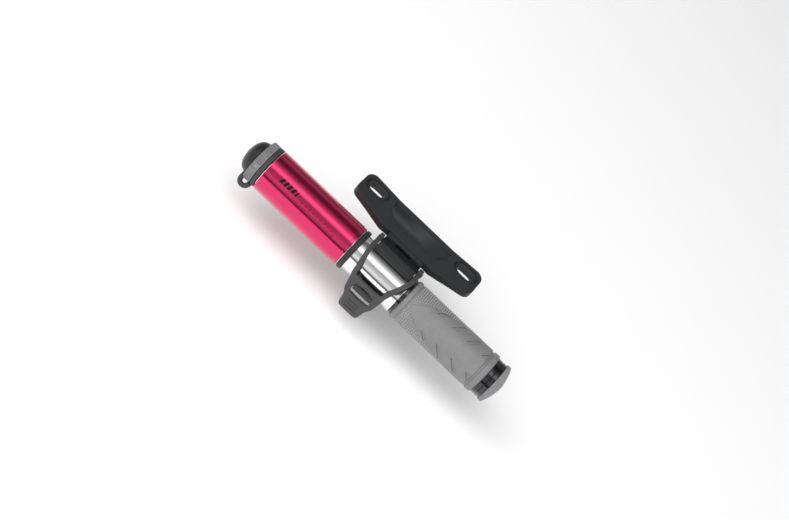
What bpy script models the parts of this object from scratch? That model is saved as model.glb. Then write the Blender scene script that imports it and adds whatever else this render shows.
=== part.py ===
"""Mini pump for a bicycle, held in its bottle-cage bracket.

The pump lies along X, grip at +X. The bracket's flat underside is the plane Z = 0, and the origin
is on it, midway between the two bolt slots. A pink sleeve slides on a silver barrel and carries a
hollow rod and the piston; a hose with a valve head is stored inside the rod and pulls out at -X.
"""

import math

import bmesh
import bpy
from mathutils import Matrix, Vector

MM = 0.001
GAP = 0.3  # clearance between neighbouring pieces, in millimetres like every size below

# Bracket and the place of the pump in it
BOLT_SPACING = 64.0
PLATE_TOP = 4.5
AXIS_Y, AXIS_Z = -34.5, -7.1  # the pump's axis
VIEW_TILT = 43.0  # the tether sits this far round from the underside
CRADLE_MID, CRADLE_HALF = 0.5, 12.3
CRADLE_IN, CRADLE_OUT = 11.3, 13.4
PIN = (13.6, 6.6)  # the strap's pins, across and up from the pump's axis
PIN_R = 1.3
STRAP_R, STRAP_THICK = 13.3, 1.8
HOOK_HALF = 6.0

# Radii of the pump
SLEEVE_R, SLEEVE_BORE = 12.7, 11.8
BARREL_R, BARREL_BORE, BARREL_NECK_R = 11.0, 9.5, 10.6
GRIP_R, GRIP_BORE = 12.2, BARREL_NECK_R + GAP
ROD_R, ROD_BORE = 5.0, 4.0
HOSE_R, HOSE_BORE = 2.9, 1.3
RIM_R = 12.4

# Stations along the pump
CAP_TIP, CAP_BASE = -94.1, -87.3
COLLAR_LEFT, COLLAR_RIGHT = -87.0, -82.5
RING_LEFT, RING_RIGHT = -82.2, -79.9
SLEEVE_LEFT, SLEEVE_RIGHT = -79.6, -20.4
BUSH_RIGHT = -17.6
GUIDE_LEFT, BARREL_LEFT = -66.9, -63.7
FLARE_START, FLARE_END = 10.4, 15.2
GRIP_LEFT, GRIP_RIGHT = 17.4, 74.6
PLUG_LEFT, PLUG_RIGHT = 74.9, 80.0
END_LEFT, END_TIP = 80.3, 85.8
PISTON_LEFT, PISTON_RIGHT = 56.0, 66.5
ROD_LEFT, ROD_RIGHT = -72.7, 60.7
HOSE_LEFT, HOSE_RIGHT = -80.2, 38.0

COARSE, FINE = 16, 28  # sides of small inner pieces and of the large outer ones


def material(name, colour, roughness, metallic=0.0, coat=0.0):
    made = bpy.data.materials.new(name)
    made.use_nodes = True
    shader = made.node_tree.nodes["Principled BSDF"]
    shader.inputs["Base Color"].default_value = (*colour, 1.0)
    shader.inputs["Roughness"].default_value = roughness
    shader.inputs["Metallic"].default_value = metallic
    shader.inputs["Coat Weight"].default_value = coat
    made.diffuse_color = (*colour, 1.0)
    return made


def add_object(name, data, finish, group):
    obj = bpy.data.objects.new(name, data)
    group.objects.link(obj)
    if finish:
        data.materials.append(finish)
    return obj


def around(degrees, radius):
    """Point (across, up) from the pump's axis; 0 faces -Y and 90 faces +Z."""
    angle = math.radians(degrees)
    return (-radius * math.cos(angle), radius * math.sin(angle))


def arc(centre, radius, start, end, steps):
    """Points of an arc in a plane, by ordinary angles in degrees."""
    angles = [math.radians(start + (end - start) * i / steps) for i in range(steps + 1)]
    return [(centre[0] + radius * math.cos(a), centre[1] + radius * math.sin(a)) for a in angles]


def turned(name, finish, outer, bore=None, sides=COARSE):
    """A piece turned about the pump's axis from (x, radius) outlines that run from -X to +X."""
    if bore:
        return spun(name, finish, outer[::-1] + bore + outer[-1:], sides)
    return spun(name, finish, [(outer[-1][0], 0.0)] + outer[::-1] + [(outer[0][0], 0.0)], sides)


def spun(name, finish, outline, sides):
    """Turns one (x, radius) chain whose outer side runs from +X to -X; it closes or ends on the axis."""
    closes = outline[0] == outline[-1]
    points = [(radius * MM, 0.0, x * MM) for x, radius in outline[: len(outline) - closes]]
    edges = [(i, (i + 1) % len(points)) for i in range(len(points) - 1 + closes)]
    mesh = bpy.data.meshes.new(name)
    mesh.from_pydata(points, edges, [])
    obj = add_object(name, mesh, finish, parts)
    obj.location = (0.0, AXIS_Y * MM, AXIS_Z * MM)
    obj.rotation_euler = (0.0, math.pi / 2, 0.0)
    screw = obj.modifiers.new("Turn", "SCREW")
    screw.axis = "Z"
    screw.steps = screw.render_steps = sides
    screw.use_merge_vertices = True
    screw.merge_threshold = 1e-6
    screw.use_smooth_shade = True
    return obj


def tube(name, finish, left, right, radius, bore, sides=COARSE):
    return turned(name, finish, [(left, radius), (right, radius)], [(left, bore), (right, bore)], sides)


def drawn(name, finish, points, radius):
    """A round wire or cord through points given in millimetres."""
    curve = bpy.data.curves.new(name, "CURVE")
    curve.dimensions = "3D"
    curve.bevel_depth = radius * MM
    curve.bevel_resolution = 2
    curve.use_fill_caps = True
    spline = curve.splines.new("POLY")
    spline.points.add(len(points) - 1)
    for slot, point in zip(spline.points, points):
        slot.co = (*(value * MM for value in point), 1.0)
    return add_object(name, curve, finish, parts)


def slab(name, outline, low, high, across=False):
    """A flat outline given thickness, as a mesh: lying in XY, or standing in YZ when across is set."""
    curve = bpy.data.curves.new(name, "CURVE")
    curve.dimensions = "2D"
    curve.fill_mode = "BOTH"
    curve.extrude = (high - low) / 2 * MM
    spline = curve.splines.new("POLY")
    spline.points.add(len(outline) - 1)
    for slot, (u, v) in zip(spline.points, outline):
        slot.co = (u * MM, v * MM, 0.0, 1.0)
    spline.use_cyclic_u = True
    guide = add_object(name + "_curve", curve, None, cutters)
    middle = (low + high) / 2 * MM
    if across:
        guide.matrix_world = Matrix(((0, 0, 1, middle), (1, 0, 0, 0), (0, 1, 0, 0), (0, 0, 0, 1)))
    else:
        guide.location = (0.0, 0.0, middle)
    bpy.context.view_layer.update()
    mesh = bpy.data.meshes.new_from_object(guide.evaluated_get(bpy.context.evaluated_depsgraph_get()))
    place = guide.matrix_world.copy()
    bpy.data.objects.remove(guide)
    work = bmesh.new()
    work.from_mesh(mesh)
    bmesh.ops.remove_doubles(work, verts=work.verts, dist=1e-7)
    bmesh.ops.dissolve_limit(work, angle_limit=1e-3, verts=work.verts, edges=work.edges)
    bmesh.ops.transform(work, matrix=place, verts=work.verts)
    bmesh.ops.recalc_face_normals(work, faces=work.faces)
    work.to_mesh(mesh)
    work.free()
    obj = add_object(name, mesh, None, cutters)
    return as_helper(obj)


def bar(name, centre, radius, low, high, sides=16):
    """A cylinder helper along X, with its centre at (y, z)."""
    work = bmesh.new()
    bmesh.ops.create_cone(
        work, cap_ends=True, segments=sides, radius1=radius * MM, radius2=radius * MM, depth=(high - low) * MM
    )
    middle = Vector(((low + high) / 2, *centre)) * MM
    place = Matrix.Translation(middle) @ Matrix.Rotation(math.pi / 2, 4, "Y")
    bmesh.ops.transform(work, matrix=place, verts=work.verts)
    mesh = bpy.data.meshes.new(name)
    work.to_mesh(mesh)
    work.free()
    return as_helper(add_object(name, mesh, None, cutters))


def as_helper(obj):
    obj.hide_render = True
    obj.display_type = "WIRE"
    return obj


def combine(obj, operation, others):
    for other in others:
        step = obj.modifiers.new(other.name, "BOOLEAN")
        step.operation = operation
        step.object = other


def pump_plane(points):
    """Moves (across, up) points from the pump's axis to world Y and Z."""
    return [(AXIS_Y + across, AXIS_Z + up) for across, up in points]


def bracket():
    """One moulding: the plate under the bottle cage, the cradle round the barrel and the hook arm."""
    tab_left, tab_right = CRADLE_MID - CRADLE_HALF, CRADLE_MID + CRADLE_HALF
    near, notch, far = -20.5, -17.0, 7.5
    wing = [(17.6, notch - 0.5), (30.0, -13.8)]
    wing += arc((36.5, -7.0), 5.0, -65, 0, 4) + arc((36.5, 2.5), 5.0, 0, 90, 4) + [(20.0, far - 1.5)]
    right = [(tab_right - 0.2, near), (tab_right - 0.2, notch)] + wing
    left = [(-x, y) for x, y in wing[::-1]] + [(tab_left + 0.2, notch), (tab_left + 0.2, near)]
    body = slab("bracket_plate", right + left, 0.0, PLATE_TOP)

    ring = [around(a, CRADLE_OUT) for a in range(84, 141, 8)]
    block = [(11.6, 8.0), (14.4, 8.0), (14.4, 9.5), (18.0, 9.5), (18.0, 7.4), (15.1, 6.9), (15.1, 3.2)]
    under = [around(a, CRADLE_OUT) for a in range(172, 253, 10)]
    inside = [around(a, CRADLE_IN) for a in range(252, 83, -8)]
    saddle = slab("cradle", pump_plane(ring + block + under + inside), tab_left, tab_right, across=True)

    arm_out = [around(a, CRADLE_OUT - 0.3) for a in range(240, 331, 10)]
    tongue = [(-12.4, -6.5), (-14.8, -6.5), (-15.2, -6.0), (-15.4, -3.2), (-14.8, -2.6), (-11.0, -2.6)]
    arm_in = [around(a, CRADLE_IN + 0.2) for a in range(340, 239, -10)]
    arm = slab("hook_arm", pump_plane(arm_out + tongue + arm_in), -HOOK_HALF, HOOK_HALF, across=True)

    pin_at = (AXIS_Y + PIN[0], AXIS_Z + PIN[1])
    pins = bar("pins", pin_at, PIN_R, tab_left - 3.2, tab_right + 3.6)
    cuts = [slab("tab_slot", [(-4.6, near - 1), (5.6, near - 1), (5.6, -18.6), (-4.6, -18.6)], 1.4, 3.4)]
    for side in (-1, 1):
        middle = side * BOLT_SPACING / 2
        slot = arc((middle + 2.4, 0.0), 2.6, -90, 90, 6) + arc((middle - 2.4, 0.0), 2.6, 90, 270, 6)
        seat = arc((middle + 2.4, 0.0), 5.2, -90, 90, 6) + arc((middle - 2.4, 0.0), 5.2, 90, 270, 6)
        cuts.append(slab(f"bolt_slot_{side}", slot, -1.0, PLATE_TOP + 1.0))
        cuts.append(slab(f"bolt_seat_{side}", seat, PLATE_TOP - 1.0, PLATE_TOP + 1.0))
    panel = [(-14.0, -10.5), (14.0, -10.5), (20.0, -5.0), (20.0, 3.0), (-20.0, 3.0), (-20.0, -5.0)]
    cuts.append(slab("relief", panel, PLATE_TOP - 0.9, PLATE_TOP + 1.0))

    obj = add_object("bracket", body.data.copy(), moulding, parts)
    bpy.data.objects.remove(body)
    combine(obj, "UNION", [saddle, arm, pins])
    combine(obj, "DIFFERENCE", cuts)


def strap():
    """The rubber strap: two legs from the pins, a window over the hook and a pull tab."""
    path = [PIN] + [around(a, STRAP_R) for a in (126, 115, 103, 90, 75, 60, 40, 20, 4)]
    path += [(-13.5, -1.7), (-15.2, -8.8), (-15.3, -11.6)]
    path += [(-15.3, -15.0), (-15.2, -18.4), (-14.9, -20.8)]
    leg = (-14.7, -12.2, 13.2, 15.9)
    lines = [leg] * 6 + [(-14.2, -11.6, 11.8, 14.6), (-13.3, -10.6, 9.9, 12.8), (-12.4, -9.5, 8.3, 11.1)]
    lines += [(-11.8, -9.0, 7.7, 10.4), (-11.0, -6.4, 6.3, 10.2), (-9.8, -6.4, 6.3, 9.6)]
    lines += [(-7.2, -5.6, 5.6, 7.2), (-6.8, -5.4, 5.4, 6.8), (-6.2, -4.8, 4.8, 6.2), (-4.8, -3.4, 3.4, 4.8)]
    crossbar, below_window = 9, 11
    work = bmesh.new()
    rows = []
    for (across, up), line in zip(path, lines):
        place = (AXIS_Y + across, AXIS_Z + up)
        rows.append([work.verts.new(Vector((x, *place)) * MM) for x in line])
    for i, (upper, lower) in enumerate(zip(rows, rows[1:])):
        solid = i == crossbar or i >= below_window
        for j in (0, 1, 2) if solid else (0, 2):
            work.faces.new((upper[j], upper[j + 1], lower[j + 1], lower[j]))
    mesh = bpy.data.meshes.new("strap")
    work.to_mesh(mesh)
    work.free()
    obj = add_object("strap", mesh, rubber, parts)
    thick = obj.modifiers.new("Thickness", "SOLIDIFY")
    thick.thickness = STRAP_THICK * MM
    thick.offset = 0.0
    thick.use_even_offset = True
    pin_at = (AXIS_Y + PIN[0], AXIS_Z + PIN[1])
    eyes = [bar("eye_left", pin_at, 2.8, leg[0], leg[1]), bar("eye_right", pin_at, 2.8, leg[2], leg[3])]
    combine(obj, "UNION", eyes)
    combine(obj, "DIFFERENCE", [bar("eye_bore", pin_at, PIN_R + GAP, leg[0] - 2, leg[3] + 2)])
    hang("strap_axis", (CRADLE_MID, *pin_at), "strap")


def barrel_and_grip():
    flare = [(FLARE_START, BARREL_R), (12.6, 11.2), (14.2, 11.6), (FLARE_END, 12.0)]
    shell = [(BARREL_LEFT, BARREL_R)] + flare + [(FLARE_END, BARREL_NECK_R), (GRIP_RIGHT, BARREL_NECK_R)]
    hollow = [(BARREL_LEFT, BARREL_BORE), (GRIP_RIGHT, BARREL_BORE)]
    turned("barrel", silver, shell, hollow, FINE)

    flange, spigot_end = BARREL_LEFT - GAP, -57.5
    guide = [(GUIDE_LEFT, 10.4), (GUIDE_LEFT + 0.6, BARREL_R), (flange, BARREL_R)]
    guide += [(flange, BARREL_BORE - GAP), (spigot_end, BARREL_BORE - GAP)]
    rod_hole = ROD_R + GAP
    groove = [(GUIDE_LEFT, rod_hole), (-62.6, rod_hole), (-62.6, 7.2), (-60.0, 7.2), (-60.0, rod_hole)]
    turned("barrel_guide", moulding, guide, groove + [(spigot_end, rod_hole)], FINE)
    tube("rod_seal", rubber, -62.3, -60.3, 6.9, ROD_R + GAP)

    tube("recess_ring", black, FLARE_END + GAP, GRIP_LEFT - GAP, 11.5, GRIP_BORE, FINE)
    left_ring, right_ring = GRIP_LEFT + 2.9, GRIP_RIGHT - 3.4
    skin = [(GRIP_LEFT, GRIP_R - 0.5), (GRIP_LEFT + 0.6, GRIP_R), (left_ring - 0.3, GRIP_R)]
    skin += [(left_ring, GRIP_R - 0.5), (left_ring + 0.6, GRIP_R - 0.2)]
    skin += [(right_ring - 1.4, GRIP_R - 0.2), (right_ring - 1.2, GRIP_R - 0.7), (right_ring - 0.2, GRIP_R - 0.7)]
    skin += [(right_ring, GRIP_R), (GRIP_RIGHT - 0.5, GRIP_R), (GRIP_RIGHT, GRIP_R - 0.4)]
    turned("grip", grey_rubber, skin, [(GRIP_LEFT, GRIP_BORE), (GRIP_RIGHT, GRIP_BORE)], FINE)

    spigot, mid = BARREL_BORE - GAP, (PLUG_LEFT + PLUG_RIGHT) / 2
    plug = [(68.5, spigot), (69.6, spigot), (69.6, 8.0), (71.8, 8.0), (71.8, spigot), (PLUG_LEFT, spigot)]
    plug += [(PLUG_LEFT, 11.4), (mid - 0.3, 11.4), (mid, 10.9), (mid + 0.3, 11.4), (PLUG_RIGHT, 11.4)]
    socket = [(76.0, 0.0), (76.0, 4.3), (PLUG_RIGHT, 4.3)]
    turned("end_plug", black, plug + socket[::-1][:2], None, FINE)
    tube("end_plug_seal", rubber, 69.9, 71.5, BARREL_BORE - 0.25, 8.0 + GAP)

    cone = [(77.0, 4.0), (END_LEFT, 4.0), (END_LEFT, 11.6), (END_LEFT + 0.3, 11.8), (82.6, 11.8)]
    cone += [(82.9, 11.4), (84.2, 8.4), (85.2, 5.0), (END_TIP, 1.8)]
    turned("end_cap", grey_plastic, cone, None, FINE)


def sleeve_unit():
    shell = [(SLEEVE_LEFT, SLEEVE_R - 0.6), (SLEEVE_LEFT + 0.8, SLEEVE_R)]
    shell += [(SLEEVE_RIGHT - 2.4, SLEEVE_R), (SLEEVE_RIGHT, SLEEVE_R - 0.5)]
    step = SLEEVE_RIGHT - 5.0
    hollow = [(SLEEVE_LEFT, SLEEVE_BORE), (step, SLEEVE_BORE), (step, 11.9), (SLEEVE_RIGHT, 11.9)]
    turned("sleeve", pink, shell, hollow, FINE)

    lip = SLEEVE_RIGHT + GAP
    bush = [(step + GAP, 11.6), (lip, 11.6), (lip, 12.5), (BUSH_RIGHT - 0.4, 12.5), (BUSH_RIGHT, 12.1)]
    turned("sleeve_bush", black, bush, [(step + GAP, BARREL_R + GAP), (BUSH_RIGHT, BARREL_R + GAP)], FINE)

    block_left, seat, block_right = SLEEVE_LEFT + GAP, -73.0, -68.0
    outer = [(block_left, SLEEVE_BORE - GAP), (block_right, SLEEVE_BORE - GAP)]
    bore = [(block_left, 5.6), (seat, 5.6), (seat, ROD_R + GAP), (block_right, ROD_R + GAP)]
    turned("head_block", moulding, outer, bore, FINE)

    tube("piston_rod", silver, ROD_LEFT, ROD_RIGHT, ROD_R, ROD_BORE)
    tube("hose_stop", moulding, -68.5, -66.0, ROD_BORE - GAP, HOSE_R + GAP)

    full = BARREL_BORE - GAP
    body = [(PISTON_LEFT, 8.2), (62.6, 8.2), (62.6, 7.4), (65.4, 7.4), (65.4, full), (PISTON_RIGHT, full)]
    core = [(PISTON_LEFT, ROD_R + GAP), (64.5, ROD_R + GAP), (64.5, 1.6)]
    turned("piston", moulding, body, core + [(PISTON_RIGHT, 1.6)])
    cup = [(62.9, BARREL_BORE - 0.25), (65.1, BARREL_BORE - 0.6)]
    turned("piston_seal", rubber, cup, [(62.9, 8.6), (64.0, 7.4 + GAP), (65.1, 7.4 + GAP)])

    turned("check_valve_disc", brass, [(63.0, 4.7), (64.2, 4.7)])
    turns, sections, wire, spring_r = 2, 12, 0.15, 4.45
    start, end = ROD_RIGHT + 0.1 + wire, 62.9 - wire
    coil = []
    for i in range(turns * sections + 1):
        across, up = around(360 * i / sections, spring_r)
        coil.append((start + (end - start) * i / (turns * sections), AXIS_Y + across, AXIS_Z + up))
    drawn("check_valve_spring", steel, coil, wire)


def hose_unit():
    nozzle, neck = 5.5, 9.0
    outer = [(-91.0, nozzle - 0.4), (-90.6, nozzle), (COLLAR_LEFT, nozzle), (COLLAR_LEFT, 6.4)]
    outer += [(COLLAR_RIGHT, 6.4), (COLLAR_RIGHT + GAP, neck), (RING_RIGHT, neck), (RING_RIGHT, 5.0), (-74.0, 5.0)]
    seat = HOSE_LEFT - GAP
    bore = [(-91.0, 4.2), (-84.6, 4.2), (-84.6, 1.5), (seat, 1.5), (seat, HOSE_R + GAP), (-74.0, HOSE_R + GAP)]
    turned("head_body", moulding, outer, bore, FINE)
    tube("head_gasket", rubber, -86.6, -84.9, 3.9, 2.4)
    tube("hose", rubber, HOSE_LEFT, HOSE_RIGHT, HOSE_R, HOSE_BORE)
    tube("hose_ferrule", silver, -73.7, -69.0, ROD_BORE - GAP, HOSE_R + GAP)

    plug = [(34.5, HOSE_BORE - GAP), (HOSE_RIGHT + GAP, HOSE_BORE - GAP), (HOSE_RIGHT + GAP, 3.6)]
    plug += [(39.8, 3.6), (39.8, 2.6), (41.8, 2.6), (41.8, 3.6), (43.6, 3.6)]
    turned("hose_end_plug", brass, plug, [(34.5, 0.6), (43.6, 0.6)])
    tube("hose_end_seal", rubber, 40.1, 41.5, ROD_BORE - 0.25, 2.6 + GAP)

    ring = [(RING_LEFT, RIM_R - 0.3), (RING_LEFT + 0.3, RIM_R), (RING_RIGHT - 0.3, RIM_R)]
    turned("tether_ring", rubber, ring + [(RING_RIGHT, RIM_R - 0.3)], [(RING_LEFT, 9.3), (RING_RIGHT, 9.3)], FINE)
    collar = [(COLLAR_LEFT, RIM_R - 0.4), (COLLAR_LEFT + 0.4, RIM_R), (COLLAR_RIGHT, RIM_R)]
    bore = [(COLLAR_LEFT, 6.7), (COLLAR_RIGHT, 6.7)]
    turned("head_collar", grey_metal, collar, bore, FINE)

    dome = [(CAP_BASE, 9.9), (-89.2, 9.6), (-91.0, 8.7), (-92.5, 7.0), (-93.5, 4.6), (CAP_TIP, 1.6)]
    cavity = [(-92.0, 0.0), (-92.0, 1.6), (-91.6, 5.2), (-90.0, 7.2), (CAP_BASE, 7.6)]
    spun("dust_cap", rubber, cavity + dome + [(CAP_TIP, 0.0)], FINE)

    below = math.radians(VIEW_TILT - 90)
    out = Vector((0.0, -math.cos(below), math.sin(below)))
    loop = [(-81.0, 12.7), (-81.2, 14.0), (-82.3, 15.2), (-83.8, 15.9), (-85.6, 15.8), (-87.2, 14.9)]
    loop += [(-88.2, 13.4), (-88.5, 11.8), (-88.4, 11.0)]
    path = [Vector((x, AXIS_Y, AXIS_Z)) + out * r for x, r in loop]
    drawn("cap_tether", rubber, path, 0.95)
    hang("cap_axis", Vector((-84.8, AXIS_Y, AXIS_Z)) + out * 12.9, "dust_cap")


def hang(name, place, piece):
    """An empty on a joint's axis, given in millimetres, that carries the piece turning about it."""
    pivot = add_object(name, None, None, parts)
    pivot.location = Vector(place) * MM
    carried = bpy.data.objects[piece]
    carried.parent = pivot
    carried.matrix_parent_inverse = Matrix.Translation(-pivot.location)


for old in list(bpy.data.objects):
    bpy.data.objects.remove(old, do_unlink=True)
parts = bpy.data.collections.new("mini_pump")
cutters = bpy.data.collections.new("cutters")
for group in (parts, cutters):
    bpy.context.scene.collection.children.link(group)

pink = material("pink_anodised", (0.74, 0.03, 0.15), 0.18, 1.0)
silver = material("polished_aluminium", (0.86, 0.86, 0.87), 0.12, 1.0)
grey_metal = material("grey_anodised", (0.30, 0.30, 0.31), 0.35, 0.8)
black = material("black_anodised", (0.015, 0.015, 0.017), 0.15, 0.5, 0.5)
grey_rubber = material("grey_rubber", (0.20, 0.20, 0.20), 0.7)
grey_plastic = material("grey_plastic", (0.22, 0.22, 0.22), 0.5)
rubber = material("black_rubber", (0.035, 0.035, 0.036), 0.65)
moulding = material("black_plastic", (0.03, 0.03, 0.032), 0.5)
brass = material("brass", (0.75, 0.55, 0.25), 0.3, 1.0)
steel = material("spring_steel", (0.6, 0.6, 0.62), 0.3, 1.0)

bracket()
strap()
barrel_and_grip()
sleeve_unit()
hose_unit()
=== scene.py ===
"""Looks of the mini pump in its bottle-cage bracket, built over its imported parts."""

import math

import bmesh
import bpy
from mathutils import Matrix, Vector


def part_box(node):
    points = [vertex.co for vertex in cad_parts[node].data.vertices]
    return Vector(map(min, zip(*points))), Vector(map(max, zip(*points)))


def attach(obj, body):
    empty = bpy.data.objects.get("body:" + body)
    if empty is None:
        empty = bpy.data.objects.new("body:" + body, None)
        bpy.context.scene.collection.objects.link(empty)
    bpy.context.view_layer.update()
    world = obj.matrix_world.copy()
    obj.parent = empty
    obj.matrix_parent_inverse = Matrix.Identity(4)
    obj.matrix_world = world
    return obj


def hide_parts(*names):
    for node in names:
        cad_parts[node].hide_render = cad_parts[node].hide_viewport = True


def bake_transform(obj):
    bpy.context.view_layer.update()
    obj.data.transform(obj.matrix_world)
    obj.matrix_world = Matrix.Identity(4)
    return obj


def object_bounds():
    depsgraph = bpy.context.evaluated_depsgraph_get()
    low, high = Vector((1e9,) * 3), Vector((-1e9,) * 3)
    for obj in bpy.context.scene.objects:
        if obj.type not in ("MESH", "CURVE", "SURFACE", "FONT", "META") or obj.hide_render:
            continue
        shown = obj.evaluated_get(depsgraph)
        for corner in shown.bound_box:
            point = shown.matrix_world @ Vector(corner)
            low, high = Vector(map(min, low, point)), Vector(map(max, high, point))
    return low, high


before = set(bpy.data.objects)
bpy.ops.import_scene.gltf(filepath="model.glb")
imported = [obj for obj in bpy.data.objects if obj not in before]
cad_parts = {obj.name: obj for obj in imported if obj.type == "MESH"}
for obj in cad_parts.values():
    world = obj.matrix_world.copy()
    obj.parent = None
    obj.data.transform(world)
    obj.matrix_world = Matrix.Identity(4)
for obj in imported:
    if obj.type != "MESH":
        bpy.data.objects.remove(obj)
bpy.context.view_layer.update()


# The bracket is one moulding in glass-filled nylon with a fine spark-eroded grain. The frame's
# two bolts go through its slots and clamp it under the bottle cage. The cradle that the barrel
# lies in and the hook arm for the strap are moulded onto the same plate.
MM = 0.001
PLATE_TOP, PLATE_SUNK = 4.5, 3.6
PLATE_NEAR, TAB_NEAR = -17.0, -20.5
CRADLE_LEFT, CRADLE_RIGHT = -11.8, 12.8
BOLT_X, SLOT_R, SEAT_R, SLOT_HALF = 32.0, 2.6, 5.2, 2.4
PIN_ACROSS, PIN_UP, PIN_R = 13.6, 6.6, 1.3
CRADLE_IN, CRADLE_OUT, RIDGE_HEIGHT, RIDGES = 11.3, 13.4, 0.45, (90, 100, 110, 120)
HOOK_HALF, HOOK_IN, HOOK_OUT = 6.0, 11.5, 13.1
BLACK_PLASTIC = (0.017, 0.018, 0.019)

barrel_low, barrel_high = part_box("barrel")
AXIS_Y = (barrel_low.y + barrel_high.y) / 2 / MM
AXIS_Z = (barrel_low.z + barrel_high.z) / 2 / MM


class Value:
    """A value socket that takes part in ordinary arithmetic. Each step adds a Math node."""

    def __init__(self, graph, socket):
        self.graph, self.socket = graph, socket

    def step(self, operation, *terms):
        made = self.graph.node("ShaderNodeMath", {"operation": operation}, dict(enumerate(terms)))
        return Value(self.graph, made.outputs[0])

    def __add__(self, other):
        return self.step("ADD", self, other)

    def __sub__(self, other):
        return self.step("SUBTRACT", self, other)

    def __rsub__(self, other):
        return self.step("SUBTRACT", other, self)

    def __mul__(self, other):
        return self.step("MULTIPLY", self, other)

    def __truediv__(self, other):
        return self.step("DIVIDE", self, other)

    def __mod__(self, other):
        return self.step("FLOORED_MODULO", self, other)

    def __gt__(self, other):
        return self.step("GREATER_THAN", self, other)

    def __lt__(self, other):
        return self.step("LESS_THAN", self, other)

    def __abs__(self):
        return self.step("ABSOLUTE", self)

    __radd__, __rmul__ = __add__, __mul__


class Graph:
    """A node tree that grows one node at a time."""

    def __init__(self, tree):
        self.tree = tree

    def node(self, kind, settings=None, inputs=None):
        made = self.tree.nodes.new(kind)
        for key, setting in (settings or {}).items():
            if key == "stops":
                ramp = made.color_ramp.elements
                for at, _ in setting[1:-1]:
                    ramp.new(at)
                for (at, level), stop in zip(setting, ramp):
                    stop.position, stop.color = at, (level, level, level, 1.0)
            else:
                setattr(made, key, setting)
        for key, value in (inputs or {}).items():
            self.feed(made, key, value)
        return made

    def feed(self, made, key, value):
        value = value.socket if isinstance(value, Value) else value
        if isinstance(value, bpy.types.NodeSocket):
            self.tree.links.new(value, made.inputs[key])
        else:
            made.inputs[key].default_value = value


class Finish(Graph):
    """A material built round its Principled shader. Lengths in it are millimetres."""

    def __init__(self, name, **constants):
        self.material = bpy.data.materials.new(name)
        self.material.use_nodes = True
        super().__init__(self.material.node_tree)
        self.shader = self.tree.nodes["Principled BSDF"]
        self.place = self.node("ShaderNodeTexCoord").outputs["Object"]
        for key, value in constants.items():
            self.feed(self.shader, key.replace("_", " ").title(), value)

    def noise(self, size, detail=2.0, stretch=(1.0, 1.0, 1.0)):
        scale = [share / (size * MM) for share in stretch]
        spread = self.node("ShaderNodeMapping", None, {"Vector": self.place, "Scale": scale})
        inputs = {"Vector": spread.outputs[0], "Scale": 1.0, "Detail": detail}
        return Value(self, self.node("ShaderNodeTexNoise", None, inputs).outputs[0])

    def mixed(self, amount, first, second):
        first, second = (c if isinstance(c, bpy.types.NodeSocket) else (*c, 1.0) for c in (first, second))
        inputs = {0: amount, 6: first, 7: second}
        return self.node("ShaderNodeMix", {"data_type": "RGBA"}, inputs).outputs[2]

    def relief(self, height, depth):
        bump = self.node("ShaderNodeBump", None, {"Height": height, "Distance": depth * MM})
        self.feed(self.shader, "Normal", bump.outputs["Normal"])

    def round_axis(self):
        """Place along the pump, and degrees round it: 0 faces -Y and 90 faces +Z."""
        x, y, z = (Value(self, s) for s in self.node("ShaderNodeSeparateXYZ", None, {0: self.place}).outputs)
        across, up = y / MM - AXIS_Y, z / MM - AXIS_Z
        return x / MM, up.step("ARCTAN2", up, 0.0 - across) * math.degrees(1.0)


def moulded(name, colour, roughness, grain=0.3, depth=0.012, wear=0.35):
    """Moulded plastic or rubber: a fine grain, faint mottling and rubbed high spots."""
    finish = Finish(name)
    fine, mottle = finish.noise(grain), finish.noise(5.0, 4.0)
    scuffs = (finish.noise(1.6, 5.0) - 0.58) * 4.0
    dark, pale = [0.8 * c for c in colour], [1.2 * c for c in colour]
    rubbed = [1.9 * c + 0.01 for c in colour]
    base = finish.mixed(mottle * 0.6 + fine * 0.4, dark, pale)
    clamp = scuffs.step("MAXIMUM", scuffs.step("MINIMUM", scuffs, 1.0), 0.0)
    finish.feed(finish.shader, "Base Color", finish.mixed(clamp * wear, base, rubbed))
    finish.feed(finish.shader, "Roughness", roughness - 0.08 + fine * 0.16 - clamp * 0.06)
    finish.relief(fine, depth)
    return finish


def arc(centre, radius, start, end, steps):
    turns = [math.radians(start + (end - start) * i / steps) for i in range(steps + 1)]
    return [(centre[0] + radius * math.cos(t), centre[1] + radius * math.sin(t)) for t in turns]


def round_pump(degrees, radius):
    """Point (across, up) from the pump's axis: 0 faces -Y and 90 faces +Z."""
    return (-radius * math.cos(math.radians(degrees)), radius * math.sin(math.radians(degrees)))


def raise_faces(work, faces, height):
    grown = bmesh.ops.extrude_face_region(work, geom=faces)["geom"]
    lifted = [item for item in grown if isinstance(item, bmesh.types.BMVert)]
    bmesh.ops.translate(work, vec=(0.0, 0.0, height), verts=lifted)
    return [item for item in grown if isinstance(item, bmesh.types.BMFace)]


def rim(work, outline, level=0.0):
    corners = [work.verts.new((u, v, level)) for u, v in outline]
    return [work.edges.new((corners[i - 1], corner)) for i, corner in enumerate(corners)]


def fill(work, edges):
    made = bmesh.ops.triangle_fill(work, use_beauty=True, use_dissolve=False, edges=edges, normal=(0, 0, 1))
    return [item for item in made["geom"] if isinstance(item, bmesh.types.BMFace)]


def soften(work, width, segments=2, sharper_than=40.0):
    limit = math.radians(sharper_than)
    edges = [e for e in work.edges if len(e.link_faces) == 2 and e.calc_face_angle() > limit]
    shape = {"segments": segments, "profile": 0.5, "affect": "EDGES", "material": -1, "clamp_overlap": True}
    bmesh.ops.bevel(work, geom=edges, offset=width, **shape)


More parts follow.
